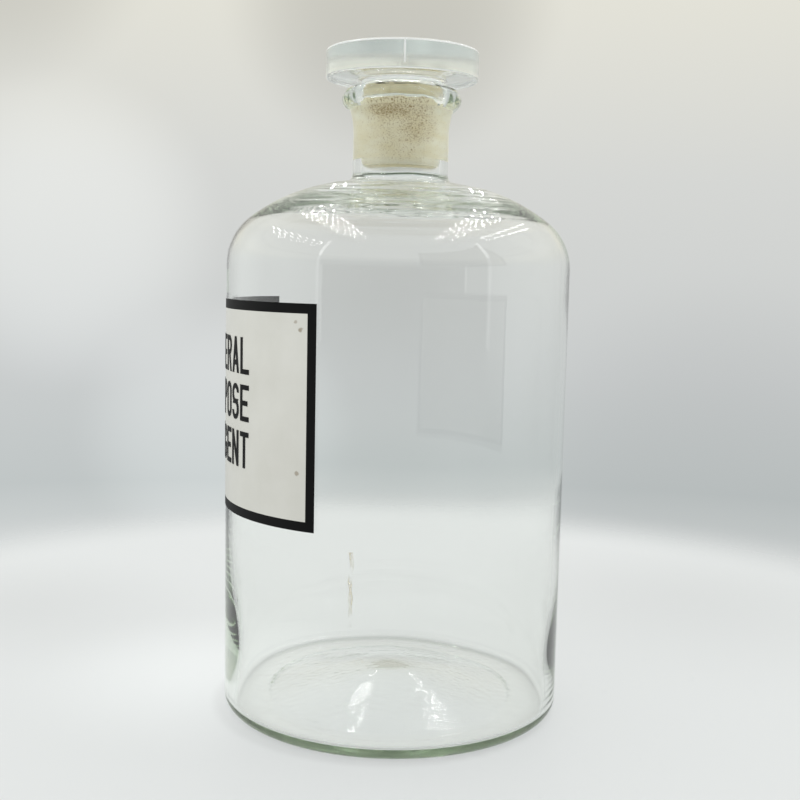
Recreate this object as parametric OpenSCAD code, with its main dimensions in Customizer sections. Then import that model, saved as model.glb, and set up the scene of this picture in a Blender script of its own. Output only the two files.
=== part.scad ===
// Five-litre reagent bottle with a flat-head ground stopper and a fired-enamel label.
// Z is up, the bottle stands on z = 0 with its axis on the origin, and the label faces -Y.

/* [Body] */
// Outer diameter of the body
body_d = 182; // [176:1:188]
// Wall thickness of the upper body
wall_t = 2.6; // [2:0.1:3.5]
// Wall thickness just above the base fillet
foot_wall_t = 5.2; // [4:0.1:7]
// Height at which the body turns into the shoulder
shoulder_z = 237; // [230:1:240]
// Radius of the turn from body to shoulder
corner_r = 31; // [29:1:33]
// Radius of the shallow dome between that turn and the neck
dome_r = 93; // [90:1:96]
// Angle through which the corner turns before the dome starts
corner_turn = 51.6; // [50:0.1:53]

/* [Base] */
// Height of the push-up under the base
punt_h = 11.5; // [9:0.5:12.5]
// Radius of the outer heel
heel_r = 6.5; // [5:0.5:8]
// Width of the ring that the bottle stands on
stand_w = 16.5; // [14:0.5:18]
// Height of the inner floor at its rim
floor_z = 4.5; // [4:0.5:6]
// Rise of the inner floor towards its centre
floor_rise = 13; // [11:0.5:14]
// Radius at which the inner floor starts to rise
push_r = 66; // [62:1:68]
// Radius between the inner floor and the wall
floor_fillet_r = 3; // [2.5:0.5:5]

/* [Neck] */
// Height of the lip's top
bottle_h = 330; // [328:1:336]
// Outer diameter of the neck
neck_d = 50.6; // [50:0.2:52]
// Outer diameter of the lip
lip_d = 62.4; // [61:0.2:65]
// Thickness of the rounded lip
lip_t = 11.2; // [10.6:0.2:12]
// Height over which the neck flares out under the lip
flare_h = 13; // [11:0.5:14]
// Radius of that flare
flare_r = 45; // [40:1:60]
// Radius of the fillet between neck and shoulder
neck_fillet_r = 5; // [3:0.5:7]

/* [Ground joint] */
// Large-end diameter of the ground joint
joint_d = 45; // [44:0.5:45]
// Length of the ground joint
joint_l = 32; // [28:1:34]
// Length over which the joint narrows by 1
joint_taper = 10; // [10:1:12]
// Radial clearance between plug and socket
joint_gap = 0.05; // [0.03:0.01:0.08]

/* [Stopper] */
// Diameter of the stopper's flat head
head_d = 80; // [70:1:86]
// Thickness of the head
head_t = 15; // [12:0.5:18]
// Gap between the lip and the head's underside
head_gap = 4.3; // [3.5:0.1:6]
// Radius on the head's edges
head_edge_r = 1.2; // [0.8:0.1:2]

/* [Label] */
// Width of the label round the body
label_w = 165.5; // [140:0.5:180]
// Height of the label
label_h = 109; // [100:1:115]
// Height of the label's lower edge
label_z = 110; // [100:1:112]
// Width of the black border
border_w = 4.8; // [4:0.1:6]
// Thickness of each fired film
film_t = 0.2; // [0.15:0.05:0.3]
// Height of the capitals
letter_h = 18.3; // [16:0.1:19]
// Width of the capitals
letter_w = 9.2; // [8:0.1:9.6]
// Gap between neighbouring capitals
letter_gap = 1.9; // [1.4:0.1:2.4]
// Thickness of the strokes
stroke = 2.5; // [2:0.1:2.8]
// Distance from one row to the next
row_pitch = 23.6; // [20:0.1:25]

/* [Hidden] */
$fn = 96;

clear_glass = [0.82, 0.90, 0.86, 0.45];
enamel_white = [0.93, 0.93, 0.90];
enamel_black = [0.07, 0.07, 0.08];

// Body, base and neck
body_r = body_d / 2;
inner_r = body_r - wall_t;
neck_r = neck_d / 2;
stand_out_r = body_r - heel_r;
stand_in_r = stand_out_r - stand_w;

// The wall thickens from thick_z down to the foot
thick_z = 130;
foot_r = body_r - foot_wall_t;
floor_edge_r = foot_r - floor_fillet_r;

// The push-up is a cone with a rounded tip; tip_share is how much of its radius the tip takes
tip_share = 0.25;

// Outer shoulder: a corner arc, then a shallow dome tangent to it
corner_c = [body_r - corner_r, shoulder_z];
dome_c = corner_c - (dome_r - corner_r) * [cos(corner_turn), sin(corner_turn)];
neck_fillet_c = fillet_centre(dome_c, dome_r, neck_r, neck_fillet_r);

// Inner shoulder: thin at the body and thicker towards the neck
inner_corner_r = corner_r - wall_t;
inner_turn = corner_turn + 3;
inner_dome_r = dome_r - 13;
inner_dome_c = corner_c - (inner_dome_r - inner_corner_r) * [cos(inner_turn), sin(inner_turn)];

// Rounded lip, from where the flare meets it to just past its top
lip_r = lip_t / 2;
lip_c = [lip_d / 2 - lip_r, bottle_h - lip_r];
lip_from = -72;
flare_c = [neck_r + flare_r, lip_c.y - lip_r - flare_h];

// Ground joint: its top, its end and the throat below it
joint_top_z = bottle_h - 5;
joint_end_z = joint_top_z - joint_l;
throat_r = socket_r(joint_end_z);
throat_fillet_r = 5;
throat_fillet_c = fillet_centre(inner_dome_c, inner_dome_r, throat_r, throat_fillet_r);

// Rounded mouth: an arc inside the lip's circle that touches it and the bore
mouth_r = 3.5;
mouth_across = joint_d / 2 + mouth_r - lip_c.x;
mouth_c = [joint_d / 2 + mouth_r, lip_c.y + sqrt(pow(lip_r - mouth_r, 2) - pow(mouth_across, 2))];
lip_to = towards(lip_c, mouth_c);

// Stopper: head, shank and plug
head_z = bottle_h + head_gap;
head_top_z = head_z + head_t;
shank_r = joint_d / 2 - 2;
shank_fillet_r = 4;
plug_top_r = socket_r(joint_top_z) - joint_gap;
plug_low_r = throat_r - joint_gap;
plug_tip_r = 5;

// Label: its middle, and where the rows of capitals lie
label_mid_z = label_z + label_h / 2;
rows_up = 3.5;
letter_fn = 48;

// Radius of the ground socket at height z
function socket_r(z) = joint_d / 2 - (joint_top_z - z) / joint_taper / 2;

// Angle in degrees of an arc length on the body
function on_body(length) = length / body_r * 180 / PI;

// Points of an arc about c, from angle a to angle b, in n steps
function arc(c, r, a, b, n) =
    [for (i = [0:n]) let (t = a + (b - a) * i / n) c + r * [cos(t), sin(t)]];

// Points of the push-up: height z + h on the axis, z at radius r
function push_up(r, h, z, n) =
    let (tip = tip_share, edge = sqrt(1 + tip * tip))
    [for (i = [0:n]) let (x = i / n) [r * x, z + h * (edge - sqrt(x * x + tip * tip)) / (edge - tip)]];

// Centre of the fillet of radius f between a vertical wall and the outside of a dome
function fillet_centre(c, r, wall, f) =
    [wall + f, c.y + sqrt(pow(r + f, 2) - pow(wall + f - c.x, 2))];

// Direction from one point to another, as an angle
function towards(a, b) = atan2(b.y - a.y, b.x - a.x);

function backwards(list) = [for (i = [len(list) - 1:-1:0]) list[i]];

// Outside of the glass, from the middle of the base up to the lip
outer_profile = concat(
    push_up(stand_in_r, punt_h, 0, 16),
    arc([stand_out_r, heel_r], heel_r, -90, 0, 8),
    arc(corner_c, corner_r, 0, corner_turn, 14),
    arc(dome_c, dome_r, corner_turn, towards(dome_c, neck_fillet_c), 14),
    arc(neck_fillet_c, neck_fillet_r, towards(dome_c, neck_fillet_c) + 180, 180, 8),
    arc(flare_c, flare_r, 180, 180 - asin(flare_h / flare_r), 8),
    arc(lip_c, lip_r, lip_from, lip_to, 20));

// Inside of the glass, from the mouth down to the middle of the floor
inner_profile = concat(
    arc(mouth_c, mouth_r, lip_to, 180, 8),
    [[socket_r(joint_top_z), joint_top_z], [throat_r, joint_end_z]],
    arc(throat_fillet_c, throat_fillet_r, 180, towards(inner_dome_c, throat_fillet_c) + 180, 8),
    arc(inner_dome_c, inner_dome_r, towards(inner_dome_c, throat_fillet_c), inner_turn, 14),
    arc(corner_c, inner_corner_r, inner_turn, 0, 14),
    [[inner_r, thick_z]],
    arc([floor_edge_r, floor_z + floor_fillet_r], floor_fillet_r, 0, -90, 8),
    backwards(push_up(push_r, floor_rise, floor_z, 16)));

// One blown piece of glass: base, body, shoulder, neck and lip
module bottle() {
    color(clear_glass) rotate_extrude() polygon(concat(outer_profile, inner_profile));
}

// One solid piece of glass: flat head, short shank and ground plug with a rounded tip
module stopper() {
    rim_r = head_d / 2 - head_edge_r;
    color(clear_glass) rotate_extrude() polygon(concat(
        [[0, joint_end_z - plug_tip_r]],
        arc([plug_low_r - plug_tip_r, joint_end_z], plug_tip_r, -90, 0, 6),
        [[plug_top_r, joint_top_z], [shank_r, joint_top_z + 1]],
        arc([shank_r + shank_fillet_r, head_z - shank_fillet_r], shank_fillet_r, 180, 90, 5),
        arc([rim_r, head_z + head_edge_r], head_edge_r, -90, 0, 4),
        arc([rim_r, head_top_z - head_edge_r], head_edge_r, 0, 90, 4),
        [[0, head_top_z]]));
}

// A film on the body: w round it and h high, centred at height z, from radius r outwards
module film(w, h, z, r, t = film_t) {
    translate([0, 0, z - h / 2])
        rotate([0, 0, -90 - on_body(w) / 2])
            rotate_extrude(angle = on_body(w)) translate([r, 0]) square([t, h]);
}

// White field inside the border
module label_field() {
    color(enamel_white) film(label_w - 2 * border_w, label_h - 2 * border_w, label_mid_z, body_r);
}

// Black border round the field
module label_border() {
    color(enamel_black) difference() {
        film(label_w, label_h, label_mid_z, body_r);
        film(label_w - 2 * border_w, label_h - 2 * border_w, label_mid_z, body_r - film_t, 3 * film_t);
    }
}

// Strokes of the capitals: each capital stands on y = 0 and spans x = 0 to letter_w
module stem(x) {
    translate([x, 0]) square([stroke, letter_h]);
}

module bar(y, w) {
    translate([0, y]) square([w, stroke]);
}

// A slanting stroke whose foot is at x0 and whose top is at x1
module slant(x0, x1) {
    polygon([[x0, 0], [x0 + stroke, 0], [x1 + stroke, letter_h], [x1, letter_h]]);
}

// Upright oval of width 2 r, from height low to height high
module oval(r, low, high) {
    translate([letter_w / 2, low + r]) circle(r, $fn = letter_fn);
    translate([letter_w / 2, high - r]) circle(r, $fn = letter_fn);
    translate([letter_w / 2 - r, low + r]) square([2 * r, high - low - 2 * r]);
}

// Oval stroke from height low to height high
module ring(low, high) {
    difference() {
        oval(letter_w / 2, low, high);
        oval(letter_w / 2 - stroke, low + stroke, high - stroke);
    }
}

// Bowl of P and R: the right half of a ring, with straight bars to the stem
module bowl(low) {
    intersection() {
        ring(low, letter_h);
        translate([letter_w / 2, 0]) square([letter_w, letter_h]);
    }
    bar(low, letter_w / 2);
    bar(letter_h - stroke, letter_w / 2);
}

// Leg of the R
module leg() {
    top_x = letter_w * 0.44;
    foot_x = letter_w - stroke;
    polygon([[foot_x, 0], [letter_w, 0], [top_x + stroke, letter_h / 2], [top_x, letter_h / 2]]);
}

// Two stacked rings, open at the upper right and the lower left
module double_hook() {
    middle = (letter_h - stroke) / 2;
    gap_h = middle - stroke - letter_w / 2;
    difference() {
        ring(middle, letter_h);
        translate([letter_w / 2, middle + stroke]) square([letter_w, gap_h + stroke]);
    }
    difference() {
        ring(0, middle + stroke);
        translate([-letter_w / 2, middle - gap_h - stroke]) square([letter_w, gap_h + stroke]);
    }
}

// Ring with a gap on its right, and a bar below the gap
module open_ring() {
    middle = (letter_h - stroke) / 2;
    difference() {
        ring(0, letter_h);
        translate([letter_w / 2, middle]) square([letter_w, letter_h * 0.24]);
    }
    translate([letter_w / 2, middle - stroke / 2]) square([letter_w / 2, stroke]);
}

function among(c, letters) = len(search(c, letters)) > 0;

module capital(c) {
    right = letter_w - stroke;
    if (among(c, "ELNPR")) stem(0);
    if (among(c, "EL")) bar(0, letter_w);
    if (among(c, "ET")) bar(letter_h - stroke, letter_w);
    if (among(c, "PR")) bowl(letter_h * 0.46);
    if (c == "E") bar((letter_h - stroke) / 2, letter_w * 0.86);
    if (c == "N") stem(right);
    if (c == "N") slant(right, 0);
    if (c == "T") stem(right / 2);
    if (c == "R") leg();
    if (c == "A") slant(0, right / 2);
    if (c == "A") slant(right, right / 2);
    if (c == "A") translate([letter_w * 0.2, letter_h * 0.22]) square([letter_w * 0.6, stroke]);
    if (c == "U") intersection() {
        ring(0, 2 * letter_h);
        square([letter_w, letter_h]);
    }
    if (c == "O") ring(0, letter_h);
    if (c == "G") open_ring();
    if (c == "S") double_hook();
}

// A row of capitals lying on the label field, each a separate film
module row(word, index) {
    r = body_r + film_t;
    z = label_mid_z + rows_up + (1 - index) * row_pitch;
    depth = 4;
    color(enamel_black) for (i = [0:len(word) - 1])
        intersection() {
            film(label_w, label_h, label_mid_z, r);
            rotate([90, 0, (i - (len(word) - 1) / 2) * on_body(letter_w + letter_gap)])
                translate([-letter_w / 2, z - letter_h / 2, r - depth / 2])
                    linear_extrude(depth) capital(word[i]);
        }
}

bottle();
stopper();
label_field();
label_border();
row("GENERAL", 0);  // label_row_1
row("PURPOSE", 1);  // label_row_2
row("REAGENT", 2);  // label_row_3
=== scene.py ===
"""Looks of a five-litre reagent bottle: blown glass, ground joint, fired label, stage and camera."""
import math

import bpy
from mathutils import Matrix, Vector, noise


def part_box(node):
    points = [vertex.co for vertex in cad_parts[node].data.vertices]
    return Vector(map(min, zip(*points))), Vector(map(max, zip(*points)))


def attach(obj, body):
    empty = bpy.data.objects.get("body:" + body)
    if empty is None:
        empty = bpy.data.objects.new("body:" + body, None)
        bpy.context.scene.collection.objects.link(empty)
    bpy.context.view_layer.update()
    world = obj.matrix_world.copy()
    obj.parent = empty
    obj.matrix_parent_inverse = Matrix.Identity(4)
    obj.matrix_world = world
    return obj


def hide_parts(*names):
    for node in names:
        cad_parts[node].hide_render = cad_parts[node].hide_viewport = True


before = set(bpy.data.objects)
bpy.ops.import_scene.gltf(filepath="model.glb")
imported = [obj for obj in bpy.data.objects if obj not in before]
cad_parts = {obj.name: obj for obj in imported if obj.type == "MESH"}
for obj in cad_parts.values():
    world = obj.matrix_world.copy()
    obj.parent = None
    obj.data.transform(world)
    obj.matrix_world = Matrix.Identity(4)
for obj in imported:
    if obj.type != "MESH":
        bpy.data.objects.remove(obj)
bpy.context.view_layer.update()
MM = 0.001
scene = bpy.context.scene


# ---------------------------------------------------------------- dimensions, from the frame

bottle_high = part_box("bottle")[1]
stopper_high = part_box("stopper")[1]
lip_top = bottle_high.z
head_r = stopper_high.x
head_top = stopper_high.z

film_bed = 0.04 * MM      # the glass stands this far into the label's films, as fired enamel does
body_r = bottle_high.x + film_bed
wall = 2.6 * MM
foot_wall = 5.2 * MM
thick_z = 130 * MM
shoulder_z = 237 * MM
corner_r = 31 * MM
corner_turn = 51.6        # degrees of the shoulder's corner, from the wall to where the dome begins
inner_corner_turn = corner_turn + 3
dome_r = 93 * MM
dome_shrink = 13 * MM     # the inner dome's radius is smaller by this
heel_r = 6.5 * MM
stand_w = 16.5 * MM
punt_h = 11.5 * MM
floor_z = 4.5 * MM
floor_rise = 13 * MM
floor_fillet = 3 * MM
push_r = 66 * MM
tip_share = 0.25
neck_r = 25.3 * MM
neck_fillet = 5 * MM
lip_bead_r = 5.6 * MM
lip_bead_start = -72      # degrees, where the flare of the neck runs into the bead
lip_r = 31.2 * MM
flare_r = 45 * MM
flare_h = 13 * MM
joint_top = lip_top - 5 * MM
joint_end = joint_top - 32 * MM
frost_share = 0.022       # this share of the taper, at its top, is polished clear
joint_top_r = 22.5 * MM
joint_end_r = 20.9 * MM
joint_gap = 0.05 * MM
mouth_r = 3.5 * MM
throat_fillet = 5 * MM
head_under = lip_top + 4.3 * MM
head_edge = 1.2 * MM
shank_r = 20.5 * MM
shank_fillet = 4 * MM
plug_tip = 5 * MM
plug_step = 1 * MM


# ---------------------------------------------------------------- outlines

def arc(centre, radius, start, end, steps):
    """Points along an arc in the (r, z) plane, from the angle start to the angle end in degrees."""
    points = []
    for i in range(steps + 1):
        angle = math.radians(start + (end - start) * i / steps)
        points.append((centre[0] + radius * math.cos(angle), centre[1] + radius * math.sin(angle)))
    return points


def line(a, b, steps):
    """Points between a and b, without either end."""
    return [(a[0] + (b[0] - a[0]) * i / steps, a[1] + (b[1] - a[1]) * i / steps) for i in range(1, steps)]


def push_up(radius, rise, base, steps):
    """A cone with a rounded tip, from the axis out to radius, rise above base at the axis."""
    edge = math.sqrt(1 + tip_share ** 2)
    points = []
    for i in range(steps + 1):
        share = i / steps
        height = rise * (edge - math.sqrt(share ** 2 + tip_share ** 2)) / (edge - tip_share)
        points.append((radius * share, base + height))
    return points


def fillet_centre(centre, radius, side, fillet):
    """Centre of the fillet between a vertical side and the outside of a dome."""
    reach = math.sqrt((radius + fillet) ** 2 - (side + fillet - centre[0]) ** 2)
    return (side + fillet, centre[1] + reach)


def towards(a, b):
    """Direction from a to b in degrees."""
    return math.degrees(math.atan2(b[1] - a[1], b[0] - a[0]))


def mouth_centre():
    """Centre of the rounded mouth: tangent to the bore, and inside the bead's circle."""
    across = joint_top_r + mouth_r - lip_c[0]
    return (joint_top_r + mouth_r, lip_c[1] + math.sqrt((lip_bead_r - mouth_r) ** 2 - across ** 2))


def dome_centre(excess, turn):
    """Centre of a dome, larger in radius by excess, that continues the shoulder's corner from turn."""
    angle = math.radians(turn)
    return (corner_c[0] - excess * math.cos(angle), corner_c[1] - excess * math.sin(angle))


# ---------------------------------------------------------------- waviness of blown glass

# Smooth noise on a body of revolution: depth, waves in a turn, waves in a metre, and a seed
TOOLED_NECK = (0.52 * MM, 9, 130, 3.0)
SOFT_SHOULDER = (0.10 * MM, 5, 24, 7.0)
NECK = (0.10 * MM, 8, 30, 11.0)
LIP_ACROSS = (0.40 * MM, 48, 80, 13.0)
LIP_UPWARD = (0.30 * MM, 40, 110, 15.0)
WALL_BROAD = (0.22 * MM, 6, 9, 17.0)
WALL_FINE = (0.05 * MM, 18, 30, 19.0)
WALL_LOW = (0.40 * MM, 7, 22, 23.0)
DOME_RINGS = (1.90 * MM, 9, 230, 29.0)
DOME_FINE = (1.05 * MM, 20, 460, 31.0)
DOME_HAIR = (0.16 * MM, 34, 1100, 33.0)
DOME_STREAKS = (0.15 * MM, 5, 240, 35.0)
DOME_BROAD = (0.20 * MM, 6, 25, 37.0)
HEAD_FLUTES = (0.07 * MM, 30, 12, 53.0)
# Smooth noise on a flat: depth, waves in a metre, and a seed
FLOOR_BROAD = (0.30 * MM, 26, 41.0)
FLOOR_DIMPLES = (0.13 * MM, 105, 43.0)
FLOOR_GRAIN = (0.065 * MM, 380, 45.0)
PUNT = (0.50 * MM, 30, 47.0)
HEAD_FLAT = (0.10 * MM, 45, 59.0)
# Shares of a noise's depth
TOOLED_OUTWARD = 0.4      # how far the tooled ripples also move outward
LIP_DEEPER_ACROSS = 0.5   # how much deeper the lip's ripples are where it turns into the mouth
LIP_DEEPER_UPWARD = 8 / 15
FLOOR_TIP_ROUGH = 0.2     # how much of the dimples is left at the tip of the push-up
SEAM_HEIGHT = 0.42 * MM
SEAM_WIDTH = 0.017        # radians


def ripple(waves, angle, height):
    """One of the noises on a body of revolution, at an angle and a height."""
    depth, around, upward, seed = waves
    spread = around / (2 * math.pi)
    point = Vector((math.cos(angle) * spread, math.sin(angle) * spread, height * upward + seed))
    return depth * noise.noise(point)


def swell(waves, r, angle):
    """One of the noises on a flat, at a distance from the axis and an angle."""
    depth, density, seed = waves
    x = r * math.cos(angle)
    y = r * math.sin(angle)
    return depth * noise.noise(Vector((x * density, y * density, seed)))


def fade(x, start, end):
    """0 at start, 1 at end, smooth between."""
    t = min(1.0, max(0.0, (x - start) / (end - start)))
    return t * t * (3 - 2 * t)


def bell(x, centre, width):
    """1 at centre, falling to 0 beyond a few widths."""
    return math.exp(-((x - centre) / width) ** 2)


def turn_between(a, b):
    """Smallest angle between two directions in radians."""
    return abs((a - b + math.pi) % (2 * math.pi) - math.pi)


# Each of the functions below returns how far a point moves outward and how far upward.

def still(r, z, angle):
    return (0.0, 0.0)


def outside_waves(r, z, angle):
    """Outer surface: true where the label is, tooled ripples round the root of the neck."""
    near_neck = 1 - fade(r, 30 * MM, 62 * MM)
    above_corner = fade(z, shoulder_z + 12 * MM, shoulder_z + 34 * MM)
    tooled = near_neck * above_corner * ripple(TOOLED_NECK, angle, r + z)
    soft = fade(z, shoulder_z - 10 * MM, shoulder_z + 10 * MM) * ripple(SOFT_SHOULDER, angle, z)
    return (tooled * TOOLED_OUTWARD + soft, tooled)


def neck_waves(r, z, angle):
    return (ripple(NECK, angle, z), 0.0)


def lip_waves(r, z, angle):
    """The fire-polished bead: close, uneven ripples, deeper where the bead turns into the mouth."""
    inward = 1 - fade(r, 26 * MM, 29 * MM)
    across = (1 + LIP_DEEPER_ACROSS * inward) * ripple(LIP_ACROSS, angle, z + r)
    upward = (1 + LIP_DEEPER_UPWARD * inward) * ripple(LIP_UPWARD, angle, z - r)
    return (across, upward)


def inside_waves(r, z, angle):
    """Inner surface of the wall: broad changes of thickness, and a thick roll low down on two sides."""
    low_down = (1 - fade(z, 30 * MM, 110 * MM)) * fade(z, 8 * MM, 30 * MM)
    moved = ripple(WALL_BROAD, angle, z) + ripple(WALL_FINE, angle, z) + low_down * ripple(WALL_LOW, angle, z)
    for side, height, tall, thick in THICK_ROLLS:
        moved -= thick * bell(z, height, tall) * bell(turn_between(angle, side), 0.0, ROLL_WIDTH)
    return (moved, 0.0)


def dome_waves(r, z, angle):
    """Inner surface of the shoulder: rings of tooled ripples that grow towards the throat."""
    near = 1 - fade(r, 34 * MM, 68 * MM)
    moved = ripple(DOME_BROAD, angle, r)
    for waves in (DOME_RINGS, DOME_FINE, DOME_HAIR):
        moved += near * ripple(waves, angle, r)
    moved += bell(r, 66 * MM, 10 * MM) * ripple(DOME_STREAKS, angle, r)
    return (0.0, moved)


def floor_waves(r, z, angle):
    """Inner floor: broad swells and close dimples that catch the lamps, calmer at the tip of the push-up."""
    inward = 1 - fade(r, 74 * MM, 83 * MM)
    rough = FLOOR_TIP_ROUGH + (1 - FLOOR_TIP_ROUGH) * fade(r, 10 * MM, 32 * MM)
    close = swell(FLOOR_DIMPLES, r, angle) + swell(FLOOR_GRAIN, r, angle)
    return (0.0, (swell(FLOOR_BROAD, r, angle) + close * rough) * inward)


def punt_waves(r, z, angle):
    """Underside of the push-up, still where it meets the standing ring."""
    inward = 1 - fade(r, 48 * MM, 67 * MM)
    return (0.0, inward * swell(PUNT, r, angle))


def pressed_side(r, z, angle):
    """Pressed glass of the stopper's head: faint upright flutes and the mould's two seams."""
    seam = 0.0
    for side in (seam_angle, seam_angle + math.pi):
        seam += SEAM_HEIGHT * bell(turn_between(angle, side), 0.0, SEAM_WIDTH)
    return (ripple(HEAD_FLUTES, angle, z) + seam, 0.0)


def pressed_flat(r, z, angle):
    return (0.0, swell(HEAD_FLAT, r, angle))


# ---------------------------------------------------------------- meshes

def lathe(name, outline, turns, materials):
    """A body of revolution. Each point of outline is (r, z, waves, material index from there on)."""
    verts, rings, faces, bands = [], [], [], []
    for r, z, waves, _ in outline:
        count = turns if r > 1e-7 else 1
        ring = []
        for i in range(count):
            angle = 2 * math.pi * i / turns
            dr, dz = waves(r, z, angle)
            if count == 1:
                dr = 0.0
            ring.append(len(verts))
            verts.append(((r + dr) * math.cos(angle), (r + dr) * math.sin(angle), z + dz))
        rings.append(ring)
    for k in range(len(rings) - 1):
        near, far = rings[k], rings[k + 1]
        for i in range(turns):
            j = (i + 1) % turns
            corners = [near[i % len(near)], near[j % len(near)], far[j % len(far)], far[i % len(far)]]
            faces.append(list(dict.fromkeys(corners)))
            bands.append(outline[k][3])
    mesh = bpy.data.meshes.new(name)
    mesh.from_pydata(verts, [], faces)
    for material in materials:
        mesh.materials.append(material)
    mesh.polygons.foreach_set("material_index", bands)
    mesh.polygons.foreach_set("use_smooth", [True] * len(faces))
    mesh.update()
    piece = bpy.data.objects.new(name, mesh)
    scene.collection.objects.link(piece)
    return piece


# Places of the materials on the bottle and the stopper: clear glass comes first, as 0
GROUND = 1
SIDE = 2
EDGE = 3


def band(points, waves, material=0):
    """The same waves and material for a run of outline points."""
    return [(r, z, waves, material) for r, z in points]


# ---------------------------------------------------------------- materials

GLASS_IOR = 1.515
# Ground glass, and the grime and grit in it
CREAM_DARK = (0.93, 0.865, 0.64)
CREAM_LIGHT = (1.0, 0.965, 0.80)
GRIME_STAIN = (0.62, 0.50, 0.27)
GRIT_COLOUR = (0.40, 0.28, 0.12)
GRIT_SHARE = 0.355        # the noise below this value is grit
# Stains on the label
STAIN_COLOUR = (0.20, 0.15, 0.09)


def new_material(name):
    material = bpy.data.materials.new(name)
    material.use_nodes = True
    nodes = material.node_tree.nodes
    return material, nodes, material.node_tree.links, nodes["Principled BSDF"]


def noise_node(nodes, links, scale, detail=4.0, rough=0.55, stretch=(1, 1, 1)):
    """Noise in the object's own coordinates, in features per metre."""
    where = nodes.new("ShaderNodeTexCoord")
    place = nodes.new("ShaderNodeMapping")
    place.inputs["Scale"].default_value = stretch
    pattern = nodes.new("ShaderNodeTexNoise")
    pattern.inputs["Scale"].default_value = scale
    pattern.inputs["Detail"].default_value = detail
    pattern.inputs["Roughness"].default_value = rough
    links.new(where.outputs["Object"], place.inputs["Vector"])
    links.new(place.outputs["Vector"], pattern.inputs["Vector"])
    return pattern


def ramp_node(nodes, links, source, stops):
    """A colour ramp: stops are (position, colour)."""
    ramp = nodes.new("ShaderNodeValToRGB")
    elements = ramp.color_ramp.elements
    for element, (position, colour) in zip(elements, (stops[0], stops[-1])):
        element.position = position
        element.color = (*colour, 1)
    for position, colour in stops[1:-1]:
        element = elements.new(position)
        element.color = (*colour, 1)
    links.new(source, ramp.inputs["Fac"])
    return ramp


def bump_node(nodes, links, height, strength, distance):
    bump = nodes.new("ShaderNodeBump")
    bump.inputs["Strength"].default_value = strength
    bump.inputs["Distance"].default_value = distance
    links.new(height, bump.inputs["Height"])
    return bump


def math_node(nodes, links, operation, first, second):
    """A Math node; either input may be a socket or a number."""
    node = nodes.new("ShaderNodeMath")
    node.operation = operation
    for socket, value in zip(node.inputs, (first, second)):
        if isinstance(value, (int, float)):
            socket.default_value = value
        else:
            links.new(value, socket)
    return node.outputs["Value"]


def smooth_step(nodes, links, value, start, end):
    """0 at start and before, 1 at end and after."""
    step = nodes.new("ShaderNodeMapRange")
    step.interpolation_type = "SMOOTHSTEP"
    step.inputs["From Min"].default_value = start
    step.inputs["From Max"].default_value = end
    links.new(value, step.inputs["Value"])
    return step.outputs["Result"]


def spot_mask(nodes, links, place, reach, ragged):
    """1 at a place on the object, 0 beyond reach (along x, y and z, in metres), with a ragged edge."""
    where = nodes.new("ShaderNodeTexCoord")
    move = nodes.new("ShaderNodeVectorMath")
    move.operation = "SUBTRACT"
    move.inputs[1].default_value = place
    links.new(where.outputs["Object"], move.inputs[0])
    size = nodes.new("ShaderNodeVectorMath")
    size.operation = "DIVIDE"
    size.inputs[1].default_value = reach
    links.new(move.outputs["Vector"], size.inputs[0])
    away = nodes.new("ShaderNodeVectorMath")
    away.operation = "LENGTH"
    links.new(size.outputs["Vector"], away.inputs[0])
    cloud = noise_node(nodes, links, 0.9 / min(reach), detail=3)
    centred = math_node(nodes, links, "SUBTRACT", cloud.outputs["Fac"], 0.5)
    rough = math_node(nodes, links, "MULTIPLY", centred, ragged)
    distance = math_node(nodes, links, "ADD", away.outputs["Value"], rough)
    return smooth_step(nodes, links, distance, 1.0, 0.45)


def mix_colour(nodes, links, factor, first, second):
    """first where factor is 0, second where it is 1; each a socket or a colour."""
    mixed = nodes.new("ShaderNodeMix")
    mixed.data_type = "RGBA"
    links.new(factor, mixed.inputs["Factor"])
    for name, value in (("A", first), ("B", second)):
        socket = [item for item in mixed.inputs if item.name == name and item.type == "RGBA"][0]
        if isinstance(value, tuple):
            socket.default_value = (*value, 1)
        else:
            links.new(value, socket)
    return [item for item in mixed.outputs if item.type == "RGBA"][0]


def clear_glass(name, colour, roughness, bump_distance, detail=2, stretch=(1, 1, 1)):
    """Clear glass with a faint orange-peel skin; colour is what one surface lets through."""
    material, nodes, links, shader = new_material(name)
    shader.inputs["Base Color"].default_value = (*colour, 1)
    shader.inputs["Roughness"].default_value = roughness
    shader.inputs["IOR"].default_value = GLASS_IOR
    shader.inputs["Transmission Weight"].default_value = 1.0
    skin = noise_node(nodes, links, 60, detail=detail, stretch=stretch)
    bump = bump_node(nodes, links, skin.outputs["Fac"], 0.25, bump_distance)
    links.new(bump.outputs["Normal"], shader.inputs["Normal"])
    return material


def add_depth_tint(material, tint, density):
    """Green that deepens with the length of the path through the glass."""
    nodes, links = material.node_tree.nodes, material.node_tree.links
    depth = nodes.new("ShaderNodeVolumeAbsorption")
    depth.inputs["Color"].default_value = (*tint, 1)
    depth.inputs["Density"].default_value = density
    links.new(depth.outputs["Volume"], nodes["Material Output"].inputs["Volume"])


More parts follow.
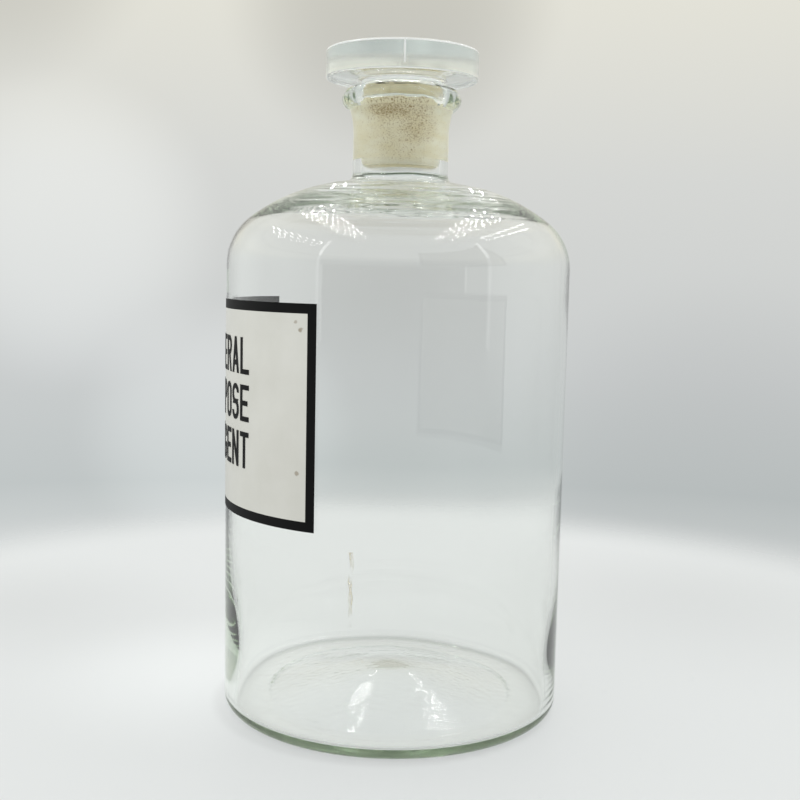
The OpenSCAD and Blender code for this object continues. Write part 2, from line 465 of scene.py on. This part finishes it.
def ground_glass(name):
    """Matt ground glass: cream, with brown dirt settled in the joint and fine dark grit."""
    material, nodes, links, shader = new_material(name)
    cloud = noise_node(nodes, links, 70, detail=5, stretch=(1, 1, 2.5))
    tone = ramp_node(nodes, links, cloud.outputs["Fac"], [(0.30, CREAM_DARK), (0.62, CREAM_LIGHT)])
    colour = tone.outputs["Color"]
    grit = noise_node(nodes, links, 1300, detail=3, rough=0.7, stretch=(1, 1, 1.7))
    threshold = GRIT_SHARE
    for azimuth, height, reach, strength in GRIME:
        turn = camera_side + math.radians(azimuth)
        place = (joint_top_r * math.cos(turn), joint_top_r * math.sin(turn), height)
        mask = spot_mask(nodes, links, place, reach, 0.9)
        stain = math_node(nodes, links, "MULTIPLY", mask, 0.45 * strength)
        colour = mix_colour(nodes, links, stain, colour, GRIME_STAIN)
        more = math_node(nodes, links, "MULTIPLY", mask, 0.11 * strength)
        threshold = math_node(nodes, links, "ADD", more, threshold)
    depth = math_node(nodes, links, "SUBTRACT", threshold, grit.outputs["Fac"])
    dots = smooth_step(nodes, links, depth, -0.02, 0.05)
    colour = mix_colour(nodes, links, dots, colour, GRIT_COLOUR)
    links.new(colour, shader.inputs["Base Color"])
    shader.inputs["Roughness"].default_value = 0.7
    shader.inputs["IOR"].default_value = 1.5
    bump = bump_node(nodes, links, grit.outputs["Fac"], 0.4, 0.05 * MM)
    links.new(bump.outputs["Normal"], shader.inputs["Normal"])
    return material


def enamel(name, low_colour, high_colour, roughness, shine, stains=()):
    """Fired enamel: a slightly uneven, glossy skin, with small brown stains."""
    material, nodes, links, shader = new_material(name)
    cloud = noise_node(nodes, links, 40, detail=6)
    tone = ramp_node(nodes, links, cloud.outputs["Fac"], [(0.3, low_colour), (0.7, high_colour)])
    colour = tone.outputs["Color"]
    for azimuth, height, reach, strength in stains:
        turn = math.radians(azimuth - 90)
        place = (body_r * math.cos(turn), body_r * math.sin(turn), height)
        spot = spot_mask(nodes, links, place, (reach, reach, reach), 1.6)
        mask = math_node(nodes, links, "MULTIPLY", spot, strength)
        colour = mix_colour(nodes, links, mask, colour, STAIN_COLOUR)
    links.new(colour, shader.inputs["Base Color"])
    shader.inputs["Roughness"].default_value = roughness
    shader.inputs["Specular IOR Level"].default_value = shine
    skin = noise_node(nodes, links, 350, detail=3)
    bump = bump_node(nodes, links, skin.outputs["Fac"], 0.2, 0.03 * MM)
    links.new(bump.outputs["Normal"], shader.inputs["Normal"])
    return material


# ---------------------------------------------------------------- camera

VIEW_AZIMUTH = math.radians(76.5)    # direction of the camera from the bottle, from -Y towards +X
VIEW_DISTANCE = 621.9 * MM
VIEW_HEIGHT = 235.3 * MM
VIEW_PITCH = 0.1118       # radians, downward
VIEW_YAW = 0.0039         # radians, away from the bottle's axis
VIEW_ROLL = 0.0213        # radians
LENS_MM = 51.9
SENSOR_MM = 36


def make_camera():
    """Camera level with the bottle's shoulder, tipped down by 6.4 degrees and rolled by 1.2."""
    heading = VIEW_AZIMUTH - VIEW_YAW
    level = math.cos(VIEW_PITCH)
    ahead = Vector((-math.sin(heading) * level, math.cos(heading) * level, -math.sin(VIEW_PITCH)))
    side = ahead.cross(Vector((0, 0, 1))).normalized()
    upward = side.cross(ahead)
    right = side * math.cos(VIEW_ROLL) + upward * math.sin(VIEW_ROLL)
    top = upward * math.cos(VIEW_ROLL) - side * math.sin(VIEW_ROLL)
    data = bpy.data.cameras.new("camera")
    data.sensor_width = SENSOR_MM
    data.lens = LENS_MM
    data.clip_start = 0.01
    data.clip_end = 50
    camera = bpy.data.objects.new("camera", data)
    camera.matrix_world = Matrix((
        (right.x, top.x, -ahead.x, VIEW_DISTANCE * math.sin(VIEW_AZIMUTH)),
        (right.y, top.y, -ahead.y, -VIEW_DISTANCE * math.cos(VIEW_AZIMUTH)),
        (right.z, top.z, -ahead.z, VIEW_HEIGHT),
        (0, 0, 0, 1)))
    scene.collection.objects.link(camera)
    scene.camera = camera


make_camera()
camera_side = VIEW_AZIMUTH - math.pi / 2    # as an angle about Z from +X


# ---------------------------------------------------------------- the object's materials

# Grime in the joint: degrees from the camera's side, height, reach along x, y and z, strength
GRIME = [
    (-6, 321 * MM, (26 * MM, 26 * MM, 10 * MM), 0.85),
    (-22, 317 * MM, (16 * MM, 16 * MM, 8 * MM), 0.35),
    (28, 308 * MM, (15 * MM, 15 * MM, 9 * MM), 0.45),
    (-4, 306 * MM, (26 * MM, 24 * MM, 18 * MM), 0.50),
]

# Stains on the label: degrees round from -Y, height, reach, strength
LABEL_STAINS = [
    (46.8, 206.5 * MM, 1.6 * MM, 0.7),
    (44.9, 210.0 * MM, 1.1 * MM, 0.5),
    (47.4, 217.0 * MM, 2.2 * MM, 0.45),
    (45.9, 138.0 * MM, 1.5 * MM, 0.6),
]

bottle_glass = clear_glass("bottle_glass", (0.9975, 1, 0.999), 0.0, 0.02 * MM)
add_depth_tint(bottle_glass, (0.094, 0.3125, 0.0), 6.4)
stopper_glass = clear_glass("stopper_glass", (0.955, 0.98, 0.95), 0.0, 0.02 * MM)
pressed_grain = (1, 1, 0.35)
stopper_side = clear_glass("stopper_side", (0.93, 0.975, 0.93), 0.20, 0.45 * MM, 6, pressed_grain)
stopper_edge = clear_glass("stopper_edge", (1, 1, 1), 0.4, 0.05 * MM)
stopper_edge.node_tree.nodes["Principled BSDF"].inputs["Transmission Weight"].default_value = 0.55
ground = ground_glass("ground_joint")
white_enamel = enamel("white_enamel", (0.53, 0.526, 0.494), (0.575, 0.571, 0.544), 0.35, 0.3, LABEL_STAINS)
black_enamel = enamel("black_enamel", (0.004, 0.004, 0.0045), (0.006, 0.006, 0.0065), 0.5, 0.08)


# ---------------------------------------------------------------- bottle and stopper

# Thick rolls inside the wall: direction, height, half height, thickness
THICK_ROLLS = [
    (camera_side - math.pi / 2, 38 * MM, 21 * MM, 2.2 * MM),
    (camera_side + math.pi / 2, 37 * MM, 13 * MM, 0.6 * MM),
]
ROLL_WIDTH = 0.34         # radians
seam_angle = camera_side + math.radians(1.5)
seam_half_width = 0.009   # of the frosted line along the seam, in radians

corner_c = (body_r - corner_r, shoulder_z)
dome_c = dome_centre(dome_r - corner_r, corner_turn)
fillet_c = fillet_centre(dome_c, dome_r, neck_r, neck_fillet)
inner_corner_r = corner_r - wall
inner_dome_r = dome_r - dome_shrink
inner_dome_c = dome_centre(inner_dome_r - inner_corner_r, inner_corner_turn)
throat_c = fillet_centre(inner_dome_c, inner_dome_r, joint_end_r, throat_fillet)
lip_c = (lip_r - lip_bead_r, lip_top - lip_bead_r)
flare_c = (neck_r + flare_r, lip_c[1] - lip_bead_r - flare_h)
mouth_c = mouth_centre()
inner_r = body_r - wall
foot_r = body_r - foot_wall
floor_edge_r = foot_r - floor_fillet


def frost_edge(gap):
    """Where the frosted zone of the joint ends at its top, gap inside the socket's wall."""
    radius = joint_top_r + (joint_end_r - joint_top_r) * frost_share
    return (radius - gap, joint_top + (joint_end - joint_top) * frost_share)


def make_bottle():
    """Outside from the push-up to the lip, then inside from the mouth to the floor."""
    heel_c = (body_r - heel_r, heel_r)
    flare_turn = math.degrees(math.asin(flare_h / flare_r))
    fillet_start = towards(dome_c, fillet_c)
    throat_start = towards(inner_dome_c, throat_c)
    outside = band(push_up(heel_c[0] - stand_w, punt_h, 0, 34), punt_waves)
    outside += band(line((heel_c[0] - stand_w, 0), (heel_c[0], 0), 8), still)
    outside += band(arc(heel_c, heel_r, -90, 0, 14), still)
    outside += band(line((body_r, heel_r), (body_r, shoulder_z), 40), still)
    outside += band(arc(corner_c, corner_r, 0, corner_turn, 22), outside_waves)
    outside += band(arc(dome_c, dome_r, corner_turn, fillet_start, 60)[1:], outside_waves)
    outside += band(arc(fillet_c, neck_fillet, fillet_start + 180, 180, 10)[1:], outside_waves)
    outside += band(line((neck_r, fillet_c[1]), (neck_r, flare_c[1]), 8), neck_waves)
    outside += band(arc(flare_c, flare_r, 180, 180 - flare_turn, 8), neck_waves)
    outside += band(arc(lip_c, lip_bead_r, lip_bead_start, towards(lip_c, mouth_c), 30), lip_waves)
    mouth = arc(mouth_c, mouth_r, towards(lip_c, mouth_c), 180, 20)[1:]
    mouth_waved = 16          # points of the mouth that ripple; the last ones meet the true joint
    inside = band(mouth[:mouth_waved], lip_waves) + band(mouth[mouth_waved:], still)
    inside += band([(joint_top_r, joint_top)], still)
    inside += band([frost_edge(0)] + line(frost_edge(0), (joint_end_r, joint_end), 24), still, GROUND)
    inside += band([(joint_end_r, joint_end)], still)
    inside += band(arc(throat_c, throat_fillet, 180, throat_start + 180, 20), dome_waves)
    inside += band(arc(inner_dome_c, inner_dome_r, throat_start, inner_corner_turn, 120)[1:], dome_waves)
    inside += band(arc(corner_c, inner_corner_r, inner_corner_turn, 0, 22)[1:], inside_waves)
    inside += band(line((inner_r, shoulder_z), (inner_r, thick_z), 24), inside_waves)
    inside += band(line((inner_r, thick_z), (foot_r, floor_z + floor_fillet), 30), inside_waves)
    inside += band(arc((floor_edge_r, floor_z + floor_fillet), floor_fillet, 0, -90, 12), still)
    inside += band(line((floor_edge_r, floor_z), (push_r, floor_z), 24), floor_waves)
    inside += band(push_up(push_r, floor_rise, floor_z, 96)[::-1], floor_waves)
    return lathe("bottle_shell", outside + inside, 360, [bottle_glass, ground])


def make_stopper():
    """From the plug's end up its taper and shank, round the head, and back to the axis."""
    rim = head_r - head_edge
    end = joint_end - plug_tip
    tip_c = (joint_end_r - joint_gap - plug_tip, joint_end)
    shank_c = (shank_r + shank_fillet, head_under - shank_fillet)
    plug_top = (joint_top_r - joint_gap, joint_top)
    outline = band([(0, end)] + line((0, end), (tip_c[0], end), 10), pressed_flat)
    outline += band(arc(tip_c, plug_tip, -90, -45, 6), still)
    outline += band(arc(tip_c, plug_tip, -45, 0, 6), still, GROUND)
    taper = line((joint_end_r - joint_gap, joint_end), frost_edge(joint_gap), 24)
    outline += band(taper, still, GROUND)
    outline += band([frost_edge(joint_gap), plug_top, (shank_r, joint_top + plug_step)], still)
    outline += band(arc(shank_c, shank_fillet, 180, 90, 8), still)
    outline += band(line((shank_r + shank_fillet, head_under), (rim, head_under), 14), pressed_flat)
    outline += band(arc((rim, head_under + head_edge), head_edge, -90, 0, 8), pressed_side)
    side = line((head_r, head_under + head_edge), (head_r, head_top - head_edge), 8)
    outline += band(side, pressed_side, SIDE)
    outline += band(arc((rim, head_top - head_edge), head_edge, 0, 90, 8), pressed_side, EDGE)
    outline += band(line((rim, head_top), (0, head_top), 20), pressed_flat)
    outline += band([(0, head_top)], pressed_flat)
    piece = lathe("stopper_glass", outline, 720, [stopper_glass, ground, stopper_side, stopper_edge])
    for face in piece.data.polygons:
        x, y, _ = face.center
        if face.material_index == SIDE and turn_between(math.atan2(y, x), seam_angle) < seam_half_width:
            face.material_index = EDGE
    return piece


bottle = make_bottle()
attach(bottle, "bottle")
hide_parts("bottle")

stopper = make_stopper()
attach(stopper, "stopper")
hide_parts("stopper")


# ---------------------------------------------------------------- dried drip, and painted shade on the lip

DRIP_COLOUR = (0.80, 0.66, 0.34)
DRIP_AZIMUTH = -86        # degrees round from -Y
DRIP_LOW = 10 * MM
DRIP_HIGH = 58 * MM
DRIP_HALF_WIDTH = 0.015   # radians, as are the next two
DRIP_UNEVEN = 0.008
DRIP_SWAY = 0.012
# near-black film over the top of the lip: painted shade and painted dark reflection of the gap under the
# stopper's head
LIP_SHADE_COLOUR = (0.045, 0.05, 0.035)
FILM_GAP = 0.12 * MM      # between a film and the glass that it lies on


def stain_film(name, colour, scale, start, end, share):
    """A thin film with ragged, see-through edges; share is how much it hides where it is thickest."""
    material, nodes, links, shader = new_material(name)
    shader.inputs["Base Color"].default_value = (*colour, 1)
    shader.inputs["Roughness"].default_value = 0.6
    cloud = noise_node(nodes, links, scale, detail=4, stretch=(1, 1, 0.45))
    patches = smooth_step(nodes, links, cloud.outputs["Fac"], start, end)
    cover = math_node(nodes, links, "MULTIPLY", patches, share)
    clear = nodes.new("ShaderNodeBsdfTransparent")
    mix = nodes.new("ShaderNodeMixShader")
    links.new(cover, mix.inputs["Fac"])
    links.new(clear.outputs["BSDF"], mix.inputs[1])
    links.new(shader.outputs["BSDF"], mix.inputs[2])
    links.new(mix.outputs["Shader"], nodes["Material Output"].inputs["Surface"])
    return material


def make_drip():
    """A drip that ran down the inside of the back wall, a little in front of the glass."""
    side = math.radians(DRIP_AZIMUTH - 90)
    wall_foot = floor_z + floor_fillet
    steps = 60
    verts, faces = [], []
    for i in range(steps + 1):
        z = DRIP_LOW + (DRIP_HIGH - DRIP_LOW) * i / steps
        slope = (z - wall_foot) / (thick_z - wall_foot)
        middle = side + DRIP_SWAY * noise.noise(Vector((z * 90, 0.0, 3.0)))
        half = DRIP_HALF_WIDTH + DRIP_UNEVEN * noise.noise(Vector((z * 160, 0.0, 5.0)))
        for turn in (middle - half, middle, middle + half):
            plain = foot_r + (inner_r - foot_r) * slope
            r = plain + inside_waves(plain, z, turn)[0] - FILM_GAP
            verts.append((r * math.cos(turn), r * math.sin(turn), z))
    for i in range(steps):
        for k in (0, 1):
            a = 3 * i + k
            faces.append([a, a + 1, a + 4, a + 3])
    mesh = bpy.data.meshes.new("dried_drip")
    mesh.from_pydata(verts, [], faces)
    mesh.materials.append(stain_film("dried_drip", DRIP_COLOUR, 160, 0.35, 0.62, 0.42))
    mesh.polygons.foreach_set("use_smooth", [True] * len(faces))
    drip = bpy.data.objects.new("dried_drip", mesh)
    scene.collection.objects.link(drip)
    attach(drip, "bottle")


def make_lip_painted_shade():
    """Painted shade along the top of the lip: a dark film just over the glass, standing in for the shadow and
    dark reflection of the gap under the stopper's head.
    """
    film = stain_film("lip_painted_shade", LIP_SHADE_COLOUR, 110, 0.40, 0.58, 0.75)
    outline = band(arc(lip_c, lip_bead_r + FILM_GAP, 44, 86, 8), lip_waves)
    lip_shade_film = lathe("lip_painted_shade", outline, 360, [film])
    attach(lip_shade_film, "bottle")


make_drip()
# painted shade on the lip's top
make_lip_painted_shade()


# ---------------------------------------------------------------- label

def dress(node, material):
    """Gives a CAD node its material."""
    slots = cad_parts[node].data.materials
    slots.clear()
    slots.append(material)


dress("label_field", white_enamel)
for node in ("label_border", "label_row_1", "label_row_2", "label_row_3"):
    dress(node, black_enamel)


# ---------------------------------------------------------------- stage and light

def on_stage(across, back, height):
    """A place on the stage: across to the picture's right, back away from the camera, in metres."""
    away = camera_side + math.pi
    side = camera_side + math.pi / 2
    x = across * math.cos(side) + back * math.cos(away)
    y = across * math.sin(side) + back * math.sin(away)
    return (x, y, height)


def facing(azimuth, elevation):
    """Unit vector: azimuth in degrees from the camera's side, positive to the picture's right."""
    turn = camera_side + math.radians(azimuth)
    rise = math.radians(elevation)
    return (math.cos(turn) * math.cos(rise), math.sin(turn) * math.cos(rise), math.sin(rise))


def soft_patch(nodes, links, direction, reach):
    """1 in a direction, fading smoothly to 0 at reach degrees from it."""
    where = nodes.new("ShaderNodeTexCoord")
    dot = nodes.new("ShaderNodeVectorMath")
    dot.operation = "DOT_PRODUCT"
    dot.inputs[1].default_value = direction
    links.new(where.outputs["Generated"], dot.inputs[0])
    return smooth_step(nodes, links, dot.outputs["Value"], math.cos(math.radians(reach)), 1.0)


OPENING_DEPTH = 0.80      # how much darker the opening is
MATT_GAIN = 0.98          # how much brighter the tent is for matt surfaces


def make_world():
    """A pale light tent, and an opening towards the camera that only mirrored and matt light sees."""
    world = bpy.data.worlds.new("tent")
    scene.world = world
    world.use_nodes = True
    nodes, links = world.node_tree.nodes, world.node_tree.links
    where = nodes.new("ShaderNodeTexCoord")
    turned = nodes.new("ShaderNodeVectorRotate")
    turned.rotation_type = "Z_AXIS"
    turned.inputs["Angle"].default_value = -camera_side
    links.new(where.outputs["Generated"], turned.inputs["Vector"])
    parts = nodes.new("ShaderNodeSeparateXYZ")
    links.new(turned.outputs["Vector"], parts.inputs["Vector"])
    height = math_node(nodes, links, "MULTIPLY_ADD", parts.outputs["Z"], 0.5)
    height.node.inputs[2].default_value = 0.5
    tent = ramp_node(nodes, links, height, [
        (0.00, (0.80, 0.81, 0.80)),
        (0.36, (0.74, 0.76, 0.75)),
        (0.41, (0.53, 0.565, 0.565)),
        (0.46, (0.597, 0.617, 0.617)),
        (0.54, (0.67, 0.68, 0.66)),
        (0.61, (0.77, 0.76, 0.685)),
        (0.80, (0.80, 0.80, 0.78)),
        (1.00, (0.58, 0.59, 0.58))])
    turn = math_node(nodes, links, "ARCTAN2", parts.outputs["Y"], parts.outputs["X"])
    left = smooth_step(nodes, links, turn, math.radians(-54), math.radians(-50))
    right = smooth_step(nodes, links, turn, math.radians(62), math.radians(58))
    lintel = [math.sin(math.radians(elevation)) for elevation in (17, 6)]
    low = smooth_step(nodes, links, parts.outputs["Z"], *lintel)
    sill = smooth_step(nodes, links, parts.outputs["Z"], math.sin(math.radians(-8)), 0.0)
    opening = math_node(nodes, links, "MULTIPLY", math_node(nodes, links, "MULTIPLY", left, right), low)
    opening = math_node(nodes, links, "MULTIPLY", opening, sill)
    path = nodes.new("ShaderNodeLightPath")
    matt = math_node(nodes, links, "GREATER_THAN", path.outputs["Diffuse Depth"], 0.5)
    mirrored = math_node(nodes, links, "GREATER_THAN", path.outputs["Glossy Depth"], 0.5)
    seen = math_node(nodes, links, "MAXIMUM", mirrored, matt)
    fainter = math_node(nodes, links, "MULTIPLY", matt, 0.6)
    share = math_node(nodes, links, "MULTIPLY", seen, math_node(nodes, links, "SUBTRACT", 1.0, fainter))
    opening = math_node(nodes, links, "MULTIPLY", opening, share)
    light = math_node(nodes, links, "MULTIPLY_ADD", opening, -OPENING_DEPTH)
    light.node.inputs[2].default_value = 1.0
    light = math_node(nodes, links, "ADD", light, math_node(nodes, links, "MULTIPLY", matt, MATT_GAIN))
    for azimuth, elevation, reach, gain in SOFT_PATCHES:
        patch = soft_patch(nodes, links, facing(azimuth, elevation), reach)
        light = math_node(nodes, links, "ADD", light, math_node(nodes, links, "MULTIPLY", patch, gain))
    background = nodes["Background"]
    links.new(tent.outputs["Color"], background.inputs["Color"])
    links.new(light, background.inputs["Strength"])


# Azimuth, elevation and reach in degrees, and how much brighter than the plain tent
SOFT_PATCHES = [
    (0, 35, 64, -0.36),
    (180.5, 13, 8.5, -0.24),
    (-98, 2, 40, 0.25),
    (98, 5, 40, 0.35),
    (-164, 1.5, 8, 0.18),
    (-160, 16, 9, -0.22),
    (-171, -8, 7, 0.16),
    (164, -11, 12, -0.10),
]


def stage_mesh(name, verts, faces, material):
    mesh = bpy.data.meshes.new(name)
    mesh.from_pydata(verts, [], faces)
    mesh.materials.append(material)
    prop = bpy.data.objects.new(name, mesh)
    scene.collection.objects.link(prop)
    return prop


def lamp_material(name, strength):
    """Light seen only by way of glass and gloss, so that it adds no noise to matt surfaces."""
    material, nodes, links, shader = new_material(name)
    nodes.remove(shader)
    path = nodes.new("ShaderNodeLightPath")
    first = math_node(nodes, links, "LESS_THAN", path.outputs["Diffuse Depth"], 0.5)
    glow = nodes.new("ShaderNodeEmission")
    links.new(math_node(nodes, links, "MULTIPLY", first, strength), glow.inputs["Strength"])
    links.new(glow.outputs["Emission"], nodes["Material Output"].inputs["Surface"])
    return material


def hide_from_view(prop):
    prop.visible_camera = False
    prop.visible_diffuse = False
    prop.visible_shadow = False


LAMP_Z = 600 * MM
# Rows of round lamps: places across, and how far each row is shifted back
LED_ROWS = [(-150, 0), (-176, 24), (-204, 0), (-232, 24), (168, 0), (194, 24), (221, 0), (248, 24)]
LED_R = 4 * MM
# Rows farther back, which show in the push-up of the floor
FAR_ROWS = [(-112, 0), (-140, 19), (150, 0), (178, 19)]
# Rows of dashes: places across, and the first and last places back
DASH_ROWS = [(-460, -340, 220), (-520, -400, 160), (-585, -450, 70), (345, -170, 270), (400, -210, 270)]


def make_leds(name, rows, first, pitch, count, strength):
    """Rows of small round lamps under the tent's ceiling, from the place first towards the back."""
    verts, faces = [], []
    corners = 8
    for across, shift in rows:
        for step in range(count):
            start = len(verts)
            for i in range(corners):
                angle = 2 * math.pi * i / corners
                back = (first + pitch * step + shift) * MM
                place = (across * MM + LED_R * math.cos(angle), back + LED_R * math.sin(angle))
                verts.append(on_stage(*place, LAMP_Z))
            faces.append(list(range(start, start + corners)))
    hide_from_view(stage_mesh(name, verts, faces, lamp_material(name + "_light", strength)))


def make_dashes():
    """Short bright dashes beside the lamps, which show low on the shoulder's sides."""
    corners = ((0, 0), (6, 0), (16, 34), (10, 34))
    pitch = 72
    stagger = 23
    verts, faces = [], []
    for row, (across, first, last) in enumerate(DASH_ROWS):
        back = first + stagger * (row % 3)
        while back < last:
            start = len(verts)
            for side, end in corners:
                verts.append(on_stage((across + side) * MM, (back + end) * MM, LAMP_Z))
            faces.append([start, start + 1, start + 2, start + 3])
            back += pitch
    hide_from_view(stage_mesh("dashes", verts, faces, lamp_material("dash_light", 17.0)))


EDGE_REACH = 3.0
EDGE_AZIMUTHS = (-52.3, 60.3)
EDGE_HALF_WIDTH = 0.9     # degrees


def make_opening_edges(name, low, high, strength):
    """Lit upright edges of the tent's opening, left and right of the camera."""
    verts, faces = [], []
    for azimuth in EDGE_AZIMUTHS:
        start = len(verts)
        for side in (-1, 1):
            for height in (low, high):
                turn = camera_side + math.radians(azimuth + side * EDGE_HALF_WIDTH)
                verts.append((EDGE_REACH * math.cos(turn), EDGE_REACH * math.sin(turn), height))
        faces.append([start, start + 1, start + 3, start + 2])
    hide_from_view(stage_mesh(name, verts, faces, lamp_material(name + "_light", strength)))


# Glow of the floor, with painted light and painted shade added to it: across, back, distances where it starts
# and is full, gain
FLOOR_GLOW_PLAIN = 0.54
FLOOR_PAINTED_LIGHT_AND_SHADE = [
    # painted pool of light, left of the bottle
    (-0.10, 0.03, 0.13, 0.0, 0.12),
    # painted shade: two darker patches of floor, right and left
    (0.22, 0.20, 0.22, 0.0, -0.07),
    (-0.26, 0.15, 0.16, 0.0, -0.06),
    # painted light under the base, as if shining through the glass
    (0, 0, 0.086, 0.074, 0.18),
    # painted contact shadow round the heel, shifted to the left
    (-0.004, -0.002, 0.096, 0.089, -0.06),
]


def make_floor():
    """A pale, glowing sheet that fades into the tent behind it; its glow holds painted light to the left and
    under the base, two painted dark patches, and a painted contact shadow round the heel.
    """
    radius = 0.60
    corners = 128
    turns = [2 * math.pi * i / corners for i in range(corners)]
    material, nodes, links, shader = new_material("floor_sheet")
    shader.inputs["Base Color"].default_value = (0.187, 0.189, 0.189, 1)
    shader.inputs["Roughness"].default_value = 0.6
    shader.inputs["Emission Color"].default_value = (0.965, 1.0, 1.0, 1)
    where = nodes.new("ShaderNodeTexCoord")
    glow = FLOOR_GLOW_PLAIN
    # painted light and painted shade added to the even glow
    for across, back, start, end, gain in FLOOR_PAINTED_LIGHT_AND_SHADE:
        near = nodes.new("ShaderNodeVectorMath")
        near.operation = "DISTANCE"
        near.inputs[1].default_value = on_stage(across, back, 0)
        links.new(where.outputs["Object"], near.inputs[0])
        spot = smooth_step(nodes, links, near.outputs["Value"], start, end)
        glow = math_node(nodes, links, "ADD", math_node(nodes, links, "MULTIPLY", spot, gain), glow)
    links.new(glow, shader.inputs["Emission Strength"])
    away = nodes.new("ShaderNodeVectorMath")
    away.operation = "LENGTH"
    links.new(where.outputs["Object"], away.inputs[0])
    edge = smooth_step(nodes, links, away.outputs["Value"], 0.40, 0.56)
    clear = nodes.new("ShaderNodeBsdfTransparent")
    mix = nodes.new("ShaderNodeMixShader")
    links.new(edge, mix.inputs["Fac"])
    links.new(shader.outputs["BSDF"], mix.inputs[1])
    links.new(clear.outputs["BSDF"], mix.inputs[2])
    links.new(mix.outputs["Shader"], nodes["Material Output"].inputs["Surface"])
    ring = [(radius * math.cos(turn), radius * math.sin(turn), -0.05 * MM) for turn in turns]
    stage_mesh("floor", ring, [list(range(corners))], material)


make_world()
make_floor()
make_leds("leds", LED_ROWS, -325, 62, 9, 90.0)
make_leds("far_leds", FAR_ROWS, 540, 38, 11, 36.0)
make_dashes()
make_opening_edges("upper_edges", 1.1, 2.7, 3.5)
make_opening_edges("lower_edges", 0.0, 1.1, 1.2)

scene.view_settings.view_transform = "Standard"
scene.cycles.max_bounces = 128
scene.cycles.transmission_bounces = 128
scene.cycles.glossy_bounces = 64
scene.cycles.diffuse_bounces = 6
scene.cycles.transparent_max_bounces = 16
scene.cycles.sample_clamp_indirect = 60.0
